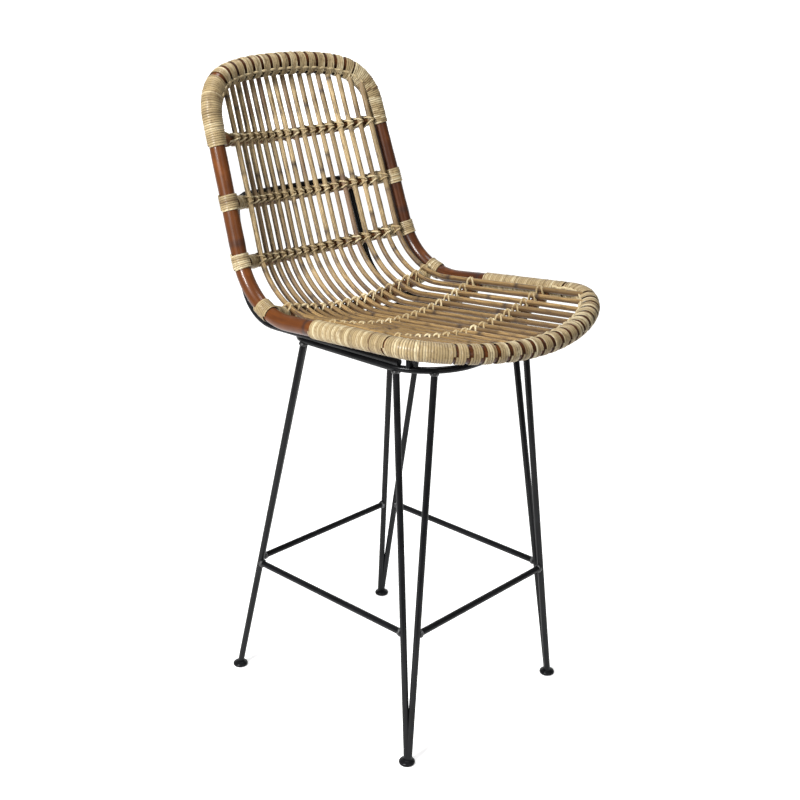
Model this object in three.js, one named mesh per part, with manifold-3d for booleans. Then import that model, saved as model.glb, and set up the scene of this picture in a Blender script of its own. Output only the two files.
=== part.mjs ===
// Bar stool with footrest: a rattan shell seat lashed with cane on a welded steel base.
// Millimetres, +Z up. The front faces -Y, left is -X, and the origin is on the floor under the middle.
import * as THREE from 'three';
import { mergeVertices } from 'three/addons/utils/BufferGeometryUtils.js';
import Module from 'manifold-3d';

const wasm = await Module();
wasm.setup();

// ---------------------------------------------------------------- driving dimensions

// Shell: the closed loop of pole, seen from the side as a back line and a seat line that meet in a bend.
const BEND_Y = 156; // where the back line and the seat line would meet
const BEND_Z = 697;
const BACK_RISE = 356; // height of the top corners above that point
const BACK_LEAN = 116; // how far the top corners lie behind it
const SEAT_DEPTH = 336; // how far the seat's straight sides run in front of it
const SEAT_RISE = 24; // how much they climb on the way
const TOP_HALF_WIDTH = 185;
const BEND_HALF_WIDTH = 199.5;
const SEAT_HALF_WIDTH = 215.5;
const BEND_RADIUS = 123;
const TOP_CORNER_RADIUS = 80;
const TOP_BOW_BACK = 30; // the top rail's middle, against its corners
const TOP_BOW_UP = 28;
const FRONT_REACH = 115; // the front curve, ahead of the straight sides
const FRONT_DROP = 18; // and how far its middle dips

// Hammock: the rails and rods hang behind and below the plane of the side poles.
const BACK_HOLLOW = 45; // depth of the rails' middle at the back
const SEAT_HOLLOW = 42; // and at the seat
const BACK_RAILS = [86, 190, 288]; // along the side, down from the top corner
const BEND_RAIL = 26; // forward from the middle of the bend
const SEAT_RAILS = [187, 40]; // back from the seat's front
const RAIL_NAMES = [
  'back_rail_top',
  'back_rail_middle',
  'back_rail_low',
  'bend_rail',
  'seat_rail_rear',
  'seat_rail_front',
];

// Thicknesses.
const POLE_D = 26;
const RAIL_D = 19;
const ROD_D = 9;
const STEEL_D = 11;
const CANE_T = 2; // a layer of cane wrapping
const GAP = 0.3; // clearance between pieces that touch
const WRAP_GAP = 0.8; // clearance between a pole and its wrapping, both made of straight facets

// Rods.
const ROD_COUNT = 17;
const ROD_PITCH = 19.4; // at the back, between neighbours
const ROD_SHIFT = 10; // the set sits a little to the right
const ROD_PITCH_HALF_WIDTH = 191; // half width of the back where the pitch holds

// Cane wrapping and the joints of the poles under it, along the side.
const CORNER_WRAP_END = 98; // down from the top corner
const HOOP_JOINT = 60;
const SIDE_WRAP_START = 177; // back from the seat's front
const SIDE_WRAP_END = 8;
const FRONT_JOINT = 83;
const BINDING_WIDTH = 25;
const CORNER_WRAP_TOP = 158; // along the top rail, from its middle to where each corner's wrapping starts

// Steel base.
const REST_BELOW = 2; // top of the base, under the seat's rear rail where it crosses the ring's sides
const RING_HALF_WIDTH = 147;
const RING_FRONT_Y = -191;
const RING_REAR_Y = 127;
const RING_FRONT_RADIUS = 100;
const RING_REAR_RADIUS = 45;
const SUPPORT_FRONT = 13; // front ends of the back support, behind the middle of the tabs
const SUPPORT_HALF_WIDTH = 132; // between its uprights, at the top
const SUPPORT_BEND_HALF_WIDTH = 155; // and where they bend
const SUPPORT_BEHIND = 15.5; // its bar, behind the middle of the back's middle rail
const SUPPORT_ABOVE = 10.5;
const SUPPORT_LEAN = 0.25; // uprights, run over rise
const SUPPORT_BEND_RADIUS = 85;
const SUPPORT_CORNER_RADIUS = 28;
const TAB_WIDTH = 16;
const TAB_T = 4;

// Legs and footrest.
const FOOT_HALF_WIDTH = 189;
const FOOT_FRONT_Y = -190;
const FOOT_REAR_Y = 235;
const FOOT_D = 27.5;
const FOOT_H = 10;
const LEG_SPLIT = 3; // between the two rods of a pair where they meet the foot
const LEG_STOP = 2.5; // a leg ends this far short of the ring's centreline, inside the saddle cut for it
const FOOTREST_Z = 226;
// Where the legs meet the ring, as angles round its corners, from +X towards the corner's end.
const FRONT_SIDE_LEG_DEG = 15;
const FRONT_INNER_LEG_DEG = 50;
const REAR_SIDE_LEG_DEG = 8;
const REAR_INNER_LEG_DEG = 88;

// Facets round each section, and the longest step along the loop of pole.
const LOOP_STEP = 18;
const POLE_FACETS = 10;
const RAIL_FACETS = 8;
const ROD_FACETS = 6;
const ROD_STEPS = 32; // along each rod, close enough to follow the bend
const STEEL_FACETS = 8;
const FOOT_FACETS = 16;

// ---------------------------------------------------------------- materials

const finish = (color, roughness, metalness = 0) =>
  new THREE.MeshStandardMaterial({ color, roughness, metalness });
const STEEL = () => finish(0x16171a, 0.45, 0.6);
const POLE = () => finish(0x7a4220, 0.35);
const RAIL = () => finish(0x6b3d20, 0.45);
const ROD = () => finish(0xb39a74, 0.5);
const CANE = () => finish(0xc2ac82, 0.55);

// ---------------------------------------------------------------- geometry helpers

const V = (x, y, z) => new THREE.Vector3(x, y, z);
const mirrored = (p) => V(-p.x, p.y, p.z);
const towards = (from, to, distance) => from.clone().lerp(to, distance / from.distanceTo(to));

// A round bend between the lines A-K and K-B, as a cubic that follows an arc of the given radius.
function roundBend(A, K, B, radius) {
  const a = A.clone().sub(K).normalize();
  const b = B.clone().sub(K).normalize();
  const turn = Math.PI - a.angleTo(b);
  const reach = radius * Math.tan(turn / 2);
  const handle = (4 / 3) * Math.tan(turn / 4) * radius;
  const start = K.clone().addScaledVector(a, reach);
  const end = K.clone().addScaledVector(b, reach);
  return new THREE.CubicBezierCurve3(
    start,
    start.clone().addScaledVector(a, -handle),
    end.clone().addScaledVector(b, -handle),
    end,
  );
}

// A path through corner points, each rounded by its radius; the first and last radii are ignored when open.
function roundedPath(points, radii, closed = false) {
  const path = new THREE.CurvePath();
  const count = points.length;
  const bends = points.map((K, i) => {
    if (!closed && (i === 0 || i === count - 1)) return new THREE.LineCurve3(K, K);
    return roundBend(points.at(i - 1), K, points[(i + 1) % count], radii[i]);
  });
  bends.forEach((bend, i) => {
    if (bend.isCubicBezierCurve3) path.add(bend);
    if (!closed && i === count - 1) return;
    path.add(new THREE.LineCurve3(bend.getPoint(1), bends[(i + 1) % count].getPoint(0)));
  });
  return path;
}

// Part of a closed path, between two distances along it; distances may run past its ends.
class Stretch extends THREE.Curve {
  constructor(path, from, to) {
    super();
    Object.assign(this, { path, from, to, total: path.getLength() });
  }

  getPoint(t) {
    const distance = this.from + (this.to - this.from) * t;
    return this.path.getPointAt(THREE.MathUtils.euclideanModulo(distance / this.total, 1));
  }
}

// A curve given by a function of 0..1.
class Formula extends THREE.Curve {
  constructor(at) {
    super();
    this.at = at;
  }

  getPoint(t) {
    return this.at(t);
  }
}

const circle = (radius, sides) => {
  const shape = new THREE.Shape();
  for (let i = 0; i < sides; i += 1) {
    const angle = (2 * Math.PI * i) / sides;
    const move = i === 0 ? 'moveTo' : 'lineTo';
    shape[move](radius * Math.cos(angle), radius * Math.sin(angle));
  }
  shape.closePath();
  return shape;
};

const tube = (path, diameter, sides, steps) =>
  new THREE.ExtrudeGeometry(circle(diameter / 2, sides), { extrudePath: path, steps, bevelEnabled: false });

const sleeve = (path, inner, outer, sides, steps) => {
  const shape = circle(outer / 2, sides);
  const roundedOut = inner / 2 / Math.cos(Math.PI / sides);
  shape.holes.push(circle(roundedOut, sides));
  return new THREE.ExtrudeGeometry(shape, { extrudePath: path, steps, bevelEnabled: false });
};

const rod = (from, to, diameter) => tube(new THREE.LineCurve3(from, to), diameter, STEEL_FACETS, 1);

function toSolid(geometry) {
  const bare = geometry.clone();
  bare.deleteAttribute('normal');
  bare.deleteAttribute('uv');
  const merged = mergeVertices(bare, 1e-4);
  return new wasm.Manifold(new wasm.Mesh({
    numProp: 3,
    vertProperties: merged.attributes.position.array,
    triVerts: new Uint32Array(merged.index.array),
  }));
}

// What is left of a geometry once the cutters are taken out of it.
function trim(geometry, ...cutters) {
  const solid = cutters.reduce((left, cutter) => left.subtract(toSolid(cutter)), toSolid(geometry));
  const cut = solid.getMesh();
  const result = new THREE.BufferGeometry();
  result.setAttribute('position', new THREE.BufferAttribute(new Float32Array(cut.vertProperties), 3));
  result.setIndex(new THREE.BufferAttribute(new Uint32Array(cut.triVerts), 1));
  return result;
}

const stool = new THREE.Group();
const add = (name, geometry, material, parent = stool) => {
  const mesh = new THREE.Mesh(geometry, material);
  mesh.name = name;
  parent.add(mesh);
  return mesh;
};

const SIDES = [['left', -1], ['right', 1]];

// ---------------------------------------------------------------- the shell's outline

const bendPoint = V(BEND_HALF_WIDTH, BEND_Y, BEND_Z);
const topCorner = V(TOP_HALF_WIDTH, BEND_Y + BACK_LEAN, BEND_Z + BACK_RISE);
const seatFront = V(SEAT_HALF_WIDTH, BEND_Y - SEAT_DEPTH, BEND_Z + SEAT_RISE);
const topMiddle = V(0, topCorner.y + TOP_BOW_BACK, topCorner.z + TOP_BOW_UP);
const frontMiddle = V(0, seatFront.y - FRONT_REACH, seatFront.z - FRONT_DROP);

// Right half of the loop, from the middle of the top rail to the middle of the front.
function halfLoop() {
  const QUARTER = 0.5523; // handle length of a quarter ellipse, as a share of its radius
  const topKnee = V(TOP_HALF_WIDTH / 2, topMiddle.y, topMiddle.z);
  const corner = roundBend(topKnee, topCorner, bendPoint, TOP_CORNER_RADIUS);
  const bend = roundBend(topCorner, bendPoint, seatFront, BEND_RADIUS);
  return [
    new THREE.QuadraticBezierCurve3(topMiddle, topKnee, corner.getPoint(0)),
    corner,
    new THREE.LineCurve3(corner.getPoint(1), bend.getPoint(0)),
    bend,
    new THREE.LineCurve3(bend.getPoint(1), seatFront),
    new THREE.CubicBezierCurve3(
      seatFront,
      towards(seatFront, bendPoint, -FRONT_REACH * QUARTER),
      V(SEAT_HALF_WIDTH * QUARTER, frontMiddle.y, frontMiddle.z),
      frontMiddle,
    ),
  ];
}

const mirrorReversed = (curve) => {
  const names = ['v0', 'v1', 'v2', 'v3'].filter((name) => curve[name]);
  return new curve.constructor(...names.map((name) => mirrored(curve[name])).reverse());
};

const loop = new THREE.CurvePath();
halfLoop().forEach((curve) => loop.add(curve));
halfLoop().reverse().forEach((curve) => loop.add(mirrorReversed(curve)));
const loopLength = loop.getLength();
const loopSamples = loop.getSpacedPoints(1600);

// The side line: the outline of the side without its corners, measured from the top corner.
const beyondTop = towards(topCorner, bendPoint, -TOP_CORNER_RADIUS);
const beyondFront = towards(seatFront, bendPoint, -FRONT_REACH * 1.5);
const sideLine = roundedPath([beyondTop, bendPoint, beyondFront], [0, BEND_RADIUS, 0]);
const sideLength = sideLine.getLength();
const [backPart, bendPart] = sideLine.getCurveLengths();
const bendMiddle = (backPart + bendPart) / 2 - TOP_CORNER_RADIUS;
const seatEnd = sideLength - TOP_CORNER_RADIUS - FRONT_REACH * 1.5;
const railSpots = [...BACK_RAILS, bendMiddle + BEND_RAIL, ...SEAT_RAILS.map((back) => seatEnd - back)];
function sidePoint(d) {
  const share = (d + TOP_CORNER_RADIUS) / sideLength;
  return sideLine.getPointAt(THREE.MathUtils.clamp(share, 0, 1));
}

// The hammock: u runs from -1 to 1 between the side poles, d along the side line, lift towards the sitter.
function hammock(u, d, lift) {
  const edge = sidePoint(d);
  const step = sidePoint(d + 1).sub(sidePoint(d - 1));
  const outward = V(0, -step.z, step.y).normalize();
  const onSeat = THREE.MathUtils.smoothstep(d, railSpots[2], railSpots[3]);
  const hollow = THREE.MathUtils.lerp(BACK_HOLLOW, SEAT_HOLLOW, onSeat);
  return V(u * edge.x, edge.y, edge.z).addScaledVector(outward, hollow * (1 - u * u) - lift);
}

const distanceToLoop = (point) => Math.min(...loopSamples.map((sample) => sample.distanceTo(point)));

// The distance along the loop, from the top middle, of the point beside the side line at d.
function alongLoop(d) {
  const target = sidePoint(d);
  const half = loopSamples.slice(0, loopSamples.length / 2);
  const gaps = half.map((sample) => sample.distanceTo(target));
  return (gaps.indexOf(Math.min(...gaps)) * loopLength) / (loopSamples.length - 1);
}

// A stretch of the loop between two distances from the top middle, on the side that the sign gives.
const sideStretch = (sign, from, to) => (sign > 0
  ? new Stretch(loop, from, to)
  : new Stretch(loop, loopLength - to, loopLength - from));

// ---------------------------------------------------------------- frame poles

const hoopEnd = alongLoop(HOOP_JOINT);
const frontEnd = alongLoop(seatEnd - FRONT_JOINT);
const steps = (path) => Math.ceil((path.to - path.from) / LOOP_STEP);
const pole = (path) => tube(path, POLE_D, POLE_FACETS, steps(path));

add('back_hoop', pole(new Stretch(loop, -hoopEnd, hoopEnd)), POLE());
add('front_pole', pole(new Stretch(loop, frontEnd, loopLength - frontEnd)), POLE());
for (const [side, sign] of SIDES) {
  add(`side_pole_${side}`, pole(sideStretch(sign, hoopEnd + GAP, frontEnd - GAP)), POLE());
}

// ---------------------------------------------------------------- cross rails and rods

const WRAP_INNER = POLE_D + 2 * WRAP_GAP;
const WRAP_OUTER = WRAP_INNER + 2 * CANE_T;
const CUTTER_SIDES = 16;
const wrappedRadius = (WRAP_OUTER / 2 + WRAP_GAP) / Math.cos(Math.PI / CUTTER_SIDES);
const wrappedLoop = new THREE.TubeGeometry(loop, 240, wrappedRadius, CUTTER_SIDES, true);

const railAt = (d, diameter) => {
  const path = new Formula((t) => hammock(2 * t - 1, d, 0));
  return tube(path, diameter, RAIL_FACETS, 12);
};
railSpots.forEach((d, i) => add(RAIL_NAMES[i], trim(railAt(d, RAIL_D), wrappedLoop), RAIL()));

// The place where a rod at u comes closest to the loop, between two distances along the side line.
function meetsLoop(u, lift, from, to) {
  const steps = 60;
  const tries = Array.from({ length: steps + 1 }, (_, i) => from + ((to - from) * i) / steps);
  const gaps = tries.map((d) => distanceToLoop(hammock(u, d, lift)));
  return tries[gaps.indexOf(Math.min(...gaps))];
}

// A rod lies on the rails, which slope more towards the sides.
function rodLift(u) {
  const slope = (2 * Math.max(BACK_HOLLOW, SEAT_HOLLOW) * u) / TOP_HALF_WIDTH;
  return ((RAIL_D + ROD_D) / 2 + GAP) * Math.hypot(1, slope);
}

for (let i = 0; i < ROD_COUNT; i += 1) {
  const u = (ROD_SHIFT + ROD_PITCH * (i - (ROD_COUNT - 1) / 2)) / ROD_PITCH_HALF_WIDTH;
  const lift = rodLift(u);
  const top = meetsLoop(u, lift, -TOP_CORNER_RADIUS + 1, railSpots[0] - RAIL_D);
  const front = meetsLoop(u, lift, railSpots.at(-1) + RAIL_D, sideLength - TOP_CORNER_RADIUS - 1);
  const path = new Formula((t) => hammock(u, THREE.MathUtils.lerp(top, front, t), lift));
  const bar = trim(tube(path, ROD_D, ROD_FACETS, ROD_STEPS), wrappedLoop);
  add(`rod_${String(i + 1).padStart(2, '0')}`, bar, ROD());
}

// ---------------------------------------------------------------- cane wrapping

const wrap = (path) => sleeve(path, WRAP_INNER, WRAP_OUTER, POLE_FACETS, steps(path));
const cornerEnd = alongLoop(CORNER_WRAP_END);
const sideStart = alongLoop(seatEnd - SIDE_WRAP_START);
const sideEnd = alongLoop(seatEnd - SIDE_WRAP_END);

add('top_wrap', wrap(new Stretch(loop, -CORNER_WRAP_TOP + GAP, CORNER_WRAP_TOP - GAP)), CANE());
add('front_wrap', wrap(new Stretch(loop, sideEnd + GAP, loopLength - sideEnd - GAP)), CANE());
for (const [side, sign] of SIDES) {
  add(`corner_wrap_${side}`, wrap(sideStretch(sign, CORNER_WRAP_TOP, cornerEnd)), CANE());
  add(`side_wrap_${side}`, wrap(sideStretch(sign, sideStart, sideEnd)), CANE());
  railSpots.slice(1, 4).forEach((d, i) => {
    const middle = alongLoop(d);
    const path = sideStretch(sign, middle - BINDING_WIDTH / 2, middle + BINDING_WIDTH / 2);
    add(`binding_${side}_${i + 1}`, wrap(path), CANE());
  });
}

// ---------------------------------------------------------------- steel base

const restZ = hammock(RING_HALF_WIDTH / SEAT_HALF_WIDTH, railSpots[4], 0).z - RAIL_D / 2 - REST_BELOW;
const supportZ = restZ - STEEL_D / 2;
const ringZ = supportZ - STEEL_D - GAP;
const ringPath = roundedPath(
  [
    V(RING_HALF_WIDTH, RING_FRONT_Y, ringZ),
    V(RING_HALF_WIDTH, RING_REAR_Y, ringZ),
    V(-RING_HALF_WIDTH, RING_REAR_Y, ringZ),
    V(-RING_HALF_WIDTH, RING_FRONT_Y, ringZ),
  ],
  [RING_FRONT_RADIUS, RING_REAR_RADIUS, RING_REAR_RADIUS, RING_FRONT_RADIUS],
  true,
);
const ring = (diameter) => new THREE.TubeGeometry(ringPath, 44, diameter / 2, STEEL_FACETS, true);
add('seat_ring', ring(STEEL_D), STEEL());

// The back support lies on the ring, bends up behind the shell and crosses behind the back.
const supportTop = hammock(0, railSpots[1], 0).add(V(SUPPORT_HALF_WIDTH, SUPPORT_BEHIND, SUPPORT_ABOVE));
const supportRun = SUPPORT_LEAN * (supportTop.z - supportZ);
const supportBend = V(SUPPORT_BEND_HALF_WIDTH, supportTop.y - supportRun, supportZ);
const tabRail = railSpots.at(-1);
const supportCorners = [
  V(RING_HALF_WIDTH, sidePoint(tabRail).y + SUPPORT_FRONT, supportZ),
  supportBend,
  supportTop,
];
const supportPath = roundedPath(
  [...supportCorners, ...supportCorners.map(mirrored).reverse()],
  [0, SUPPORT_BEND_RADIUS, SUPPORT_CORNER_RADIUS, SUPPORT_CORNER_RADIUS, SUPPORT_BEND_RADIUS, 0],
);
add('back_support', tube(supportPath, STEEL_D, STEEL_FACETS, 50), STEEL());

// A tab stands on each side of the ring, in front of the support's ends, and holds the seat's front rail.
const tabCutter = railAt(tabRail, RAIL_D + 2 * GAP);
for (const [side, sign] of SIDES) {
  const x = RING_HALF_WIDTH - TAB_WIDTH / 2;
  const rail = hammock(x / SEAT_HALF_WIDTH, tabRail, 0);
  const bottom = ringZ + STEEL_D / 2 + GAP;
  const tab = new THREE.BoxGeometry(TAB_WIDTH, TAB_T, rail.z - bottom);
  tab.translate(sign * x, rail.y, (rail.z + bottom) / 2);
  add(`tab_${side}`, trim(tab, tabCutter), STEEL());
}

// ---------------------------------------------------------------- legs, footrest and feet

// A point on the ring at an angle round one of its right-hand corners, end +1 for rear and -1 for front.
function onRingCorner(end, degrees) {
  const radius = end > 0 ? RING_REAR_RADIUS : RING_FRONT_RADIUS;
  const endY = end > 0 ? RING_REAR_Y : RING_FRONT_Y;
  const angle = THREE.MathUtils.degToRad(degrees);
  return V(
    RING_HALF_WIDTH - radius + radius * Math.cos(angle),
    endY - end * radius + end * radius * Math.sin(angle),
    ringZ,
  );
}

const CORNERS = [
  { name: 'front', end: -1, footY: FOOT_FRONT_Y, angles: [FRONT_SIDE_LEG_DEG, FRONT_INNER_LEG_DEG] },
  { name: 'rear', end: 1, footY: FOOT_REAR_Y, angles: [REAR_SIDE_LEG_DEG, REAR_INNER_LEG_DEG] },
];

const ringCutter = ring(STEEL_D + 2 * GAP);
const legs = {};
for (const { name, end, footY, angles } of CORNERS) {
  const foot = V(FOOT_HALF_WIDTH, footY, FOOT_H / 2);
  const tops = angles.map((degrees) => towards(onRingCorner(end, degrees), foot, LEG_STOP));
  const split = V(tops[1].x - tops[0].x, tops[1].y - tops[0].y, 0).setLength(LEG_SPLIT);
  legs[name] = { side: [foot, tops[0]], inner: [foot.clone().add(split), tops[1]] };
}

const facing = (points, sign) => (sign > 0 ? points : points.map(mirrored));
const legRod = (line, sign, grow = 0) => rod(...facing(line, sign), STEEL_D + grow);

for (const [side, sign] of SIDES) {
  for (const { name, footY } of CORNERS) {
    const pair = legs[name];
    const outerCutter = legRod(pair.side, sign, 2 * GAP);
    const footCutter = new THREE.BoxGeometry(2 * FOOT_D, 2 * FOOT_D, 2 * (FOOT_H + GAP));
    footCutter.translate(sign * FOOT_HALF_WIDTH, footY, 0);
    const outer = trim(legRod(pair.side, sign), ringCutter, footCutter);
    const inner = trim(legRod(pair.inner, sign), ringCutter, footCutter, outerCutter);
    add(`leg_${name}_${side}_outer`, outer, STEEL());
    add(`leg_${name}_${side}_inner`, inner, STEEL());

    const foot = add(`foot_${name}_${side}`, new THREE.LatheGeometry([
      new THREE.Vector2(0, 0),
      new THREE.Vector2(FOOT_D * 0.38, 0),
      new THREE.Vector2(FOOT_D * 0.48, FOOT_H * 0.18),
      new THREE.Vector2(FOOT_D / 2, FOOT_H * 0.42),
      new THREE.Vector2(FOOT_D * 0.45, FOOT_H * 0.66),
      new THREE.Vector2(FOOT_D * 0.3, FOOT_H * 0.9),
      new THREE.Vector2(STEEL_D / 2, FOOT_H),
      new THREE.Vector2(0, FOOT_H),
    ], FOOT_FACETS), STEEL());
    foot.geometry.rotateX(Math.PI / 2);
    foot.position.set(sign * FOOT_HALF_WIDTH, footY, 0);
  }
}

// A footrest bar between two leg lines, shaped to the rods that it is welded to.
const atFootrest = ([low, high]) => low.clone().lerp(high, (FOOTREST_Z - low.z) / (high.z - low.z));
function footrestBar(name, lineA, lineB) {
  const bar = rod(atFootrest(lineA), atFootrest(lineB), STEEL_D);
  const cutters = [lineA, lineB].map((line) => rod(...line, STEEL_D + 2 * GAP));
  add(name, trim(bar, ...cutters), STEEL());
}
for (const [side, sign] of SIDES) {
  footrestBar(`footrest_${side}`, facing(legs.front.side, sign), facing(legs.rear.side, sign));
}
for (const { name } of CORNERS) {
  footrestBar(`footrest_${name}`, legs[name].inner.map(mirrored), legs[name].inner);
}

export default stool;
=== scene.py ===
"""Bar stool with footrest: the rattan, cane and steel that are seen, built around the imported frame.

Metres, +Z up. The front faces -Y and the stool's left is -X.
"""
import math
import random

import bpy
import numpy as np
from bpy.props import FloatProperty, FloatVectorProperty, IntProperty, PointerProperty
from mathutils import Matrix, Vector


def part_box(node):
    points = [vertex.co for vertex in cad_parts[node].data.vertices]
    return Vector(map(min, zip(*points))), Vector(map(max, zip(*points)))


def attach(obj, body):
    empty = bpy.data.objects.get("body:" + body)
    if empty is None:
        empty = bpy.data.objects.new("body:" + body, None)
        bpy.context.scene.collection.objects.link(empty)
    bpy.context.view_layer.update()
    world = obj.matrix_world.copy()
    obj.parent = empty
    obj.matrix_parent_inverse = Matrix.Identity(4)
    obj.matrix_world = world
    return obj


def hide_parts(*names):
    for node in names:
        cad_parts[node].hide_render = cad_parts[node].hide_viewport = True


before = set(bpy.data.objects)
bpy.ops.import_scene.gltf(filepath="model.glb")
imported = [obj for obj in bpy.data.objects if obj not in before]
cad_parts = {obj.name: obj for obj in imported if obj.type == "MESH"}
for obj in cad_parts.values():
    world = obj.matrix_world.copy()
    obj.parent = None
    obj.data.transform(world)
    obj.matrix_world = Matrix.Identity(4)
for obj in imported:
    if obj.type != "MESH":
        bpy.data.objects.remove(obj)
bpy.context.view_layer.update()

bl_info = {
    "name": "Rattan Bar Stool",
    "version": (1, 0, 0),
    "blender": (4, 5, 0),
    "location": "3D View > Sidebar > Stool",
    "description": "Builds a bar stool with a cane-lashed rattan shell on a steel rod base",
    "category": "Object",
}

# ------------------------------------------------------------------ sizes and colours


def length(name, description, default):
    return FloatProperty(name=name, description=description, default=default, min=0.0, unit="LENGTH")


def colour(name, description, default):
    return FloatVectorProperty(
        name=name, description=description, default=default, size=3, min=0.0, max=1.0, subtype="COLOR"
    )


RING_LOW, RING_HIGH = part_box("seat_ring")
SUPPORT_LOW, SUPPORT_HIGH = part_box("back_support")
FOOT_LOW, FOOT_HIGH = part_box("foot_front_left")


class ShellSizes(bpy.types.PropertyGroup):
    bend_y: length("Bend depth", "Where the back line and the seat line would meet", 0.156)
    bend_z: length("Bend height", "Height of that point", 0.697)
    back_rise: length("Back rise", "Height of the top corners above the bend", 0.356)
    back_lean: length("Back lean", "How far the top corners lie behind the bend", 0.116)
    seat_depth: length("Seat depth", "Length of the seat's straight sides", 0.336)
    seat_rise: length("Seat rise", "How much the straight sides climb forwards", 0.024)
    top_half_width: length("Top half width", "From the middle to a top corner", 0.185)
    bend_half_width: length("Bend half width", "From the middle to the pole at the bend", 0.1995)
    seat_half_width: length("Seat half width", "From the middle to the pole at the seat's front", 0.2155)
    bend_radius: length("Bend radius", "Radius of the poles at the bend", 0.123)
    corner_radius: length("Top corner radius", "Radius of the top corners", 0.080)
    bow_back: length("Top bow, back", "How far the top rail's middle lies behind its corners", 0.030)
    bow_up: length("Top bow, up", "How far the top rail's middle stands above its corners", 0.028)
    front_reach: length("Front reach", "The front curve, ahead of the straight sides", 0.115)
    front_drop: length("Front drop", "How far the front curve dips in the middle", 0.018)
    back_hollow: length("Back hollow", "Depth of the rails' middle at the back", 0.045)
    seat_hollow: length("Seat hollow", "Depth of the rails' middle at the seat", 0.042)


class StrandSizes(bpy.types.PropertyGroup):
    pole: length("Pole", "Diameter of the frame poles", 0.026)
    rail: length("Rail", "Diameter of the cross rails", 0.019)
    rod: length("Rod", "Diameter of the thin rods", 0.0092)
    rod_pitch: length("Rod pitch", "Between neighbouring rods at the back", 0.0194)
    rod_shift: length("Rod shift", "How far the set of rods sits to the right", 0.010)
    rod_count: IntProperty(name="Rods", description="Number of thin rods", default=17, min=1)
    strand_width: length("Strand width", "Width of a cane strand", 0.0037)
    strand_thickness: length("Strand thickness", "Thickness of a cane strand", 0.0023)
    lashing: length("Lashing", "Thickness of the strands that tie the rods to the rails", 0.0022)
    group_pitch: length("Group pitch", "From one spaced group of strands to the next", 0.0212)
    group_strands: IntProperty(name="Group", description="Strands in a spaced group", default=4, min=1)
    packing: length("Packing", "Swelling of the wrapping's inner side, over the rods' ends", 0.0070)


class SteelSizes(bpy.types.PropertyGroup):
    rod: length("Steel rod", "Diameter of the base's rod", 0.011)
    ring_front_radius: length("Ring front radius", "Radius of the ring's front corners", 0.100)
    ring_rear_radius: length("Ring rear radius", "Radius of the ring's rear corners", 0.045)
    support_half_width: length("Support half width", "From the middle to the top of an upright", 0.132)
    support_bend_half_width: length("Support bend half width", "From the middle to its bend", 0.155)
    footrest_height: length("Footrest height", "Height of the footrest bars", 0.226)
    foot: length("Foot", "Diameter of a foot", FOOT_HIGH.x - FOOT_LOW.x)
    foot_height: length("Foot height", "Height of a foot", FOOT_HIGH.z)


class Finishes(bpy.types.PropertyGroup):
    pole: colour("Pole", "Lacquered pole, lit side", (0.098, 0.030, 0.0065))
    pole_dark: colour("Pole, dark", "Darker streaks of the pole", (0.030, 0.010, 0.005))
    rail: colour("Rail", "Bark of the cross rails", (0.200, 0.082, 0.026))
    rail_dark: colour("Rail, dark", "Darker streaks of the rails", (0.040, 0.018, 0.009))
    rod_pale: colour("Rod, pale", "Palest rods", (0.470, 0.350, 0.185))
    rod_grey: colour("Rod, grey", "Greyish rods", (0.190, 0.118, 0.078))
    rod_gold: colour("Rod, golden", "Rods of the seat", (0.255, 0.155, 0.056))
    cane: colour("Cane", "Cane strands", (0.285, 0.212, 0.108))
    cane_pale: colour("Cane, pale", "Palest strands", (0.460, 0.390, 0.245))
    cane_brown: colour("Cane, brown", "Brownest strands", (0.105, 0.058, 0.024))
    steel: colour("Steel", "Coating of the base", (0.0030, 0.0031, 0.0035))


def shell():
    return bpy.context.scene.stool_shell


def strands():
    return bpy.context.scene.stool_strands


def steel():
    return bpy.context.scene.stool_steel


def finishes():
    return bpy.context.scene.stool_finishes


# ------------------------------------------------------------------ shell layout

# Distances along the side line, from the top corner down the back and forward along the seat.
RAILS = {
    "back_rail_top": 0.086,
    "back_rail_middle": 0.190,
    "back_rail_low": 0.288,
    "bend_rail": 0.386,
    "seat_rail_rear": 0.496,
    "seat_rail_front": 0.643,
}
BOUND_RAILS = list(RAILS)[1:4]  # their ends are bound to the side poles by a band of cane
HOOP_JOINT = 0.060
CORNER_WRAP_END = 0.098
CORNER_WRAP_TOP = 0.158  # along the top rail, from its middle to where each corner's wrapping starts
SIDE_WRAP_START = 0.506
FRONT_JOINT = 0.600
SIDE_WRAP_END = 0.675
FRONT_DENSE_LEFT = 0.10  # along the front pole from each side wrapping, wound without gaps
FRONT_DENSE_RIGHT = 0.06
ROD_PITCH_HALF_WIDTH = 0.191  # half width of the back where the rod pitch holds
BINDING_WIDTH = 0.025
JOINT_BEFORE_WRAP = 0.012  # from a side pole's last joint to its wrapping
JOINT_PITCH = 0.238  # between a side pole's two joints
EDGE_STRAND = 0.0044  # thickness of the strands that run along the rods' ends
EDGE_WAVE = 0.0016
EDGE_TWIST = 0.0194
COLLAR_REACH = 0.04  # the stretch of a rail beside its binding
COLLAR_TURNS = 8
TURN_STEPS = 22  # straight steps in one turn of strand
LASHING_AT_BACK = 1.2  # how much thicker the lashings are there than their size says
LASHING_AT_SEAT = 1.7
LASHING_NARROWING = 0.45  # how much narrower a lashing is at the seat
PAIR_START = 0.0010  # along the rail, from a rod's middle to the first strand of its lashing
PAIR_PITCH = 0.0023
BACK_FACING = (0, -0.95, 0.31)  # the way the back faces
SEAT_FACING = (0, 0, 1)
STEP = 0.0005  # to either side of a place on a path, for the path's heading there
GAP = 0.0003
QUARTER = 0.5523  # handle length of a quarter ellipse, as a share of its radius
SIDES = (("left", -1), ("right", 1))


def unit(vector):
    return vector / np.linalg.norm(vector)


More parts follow.
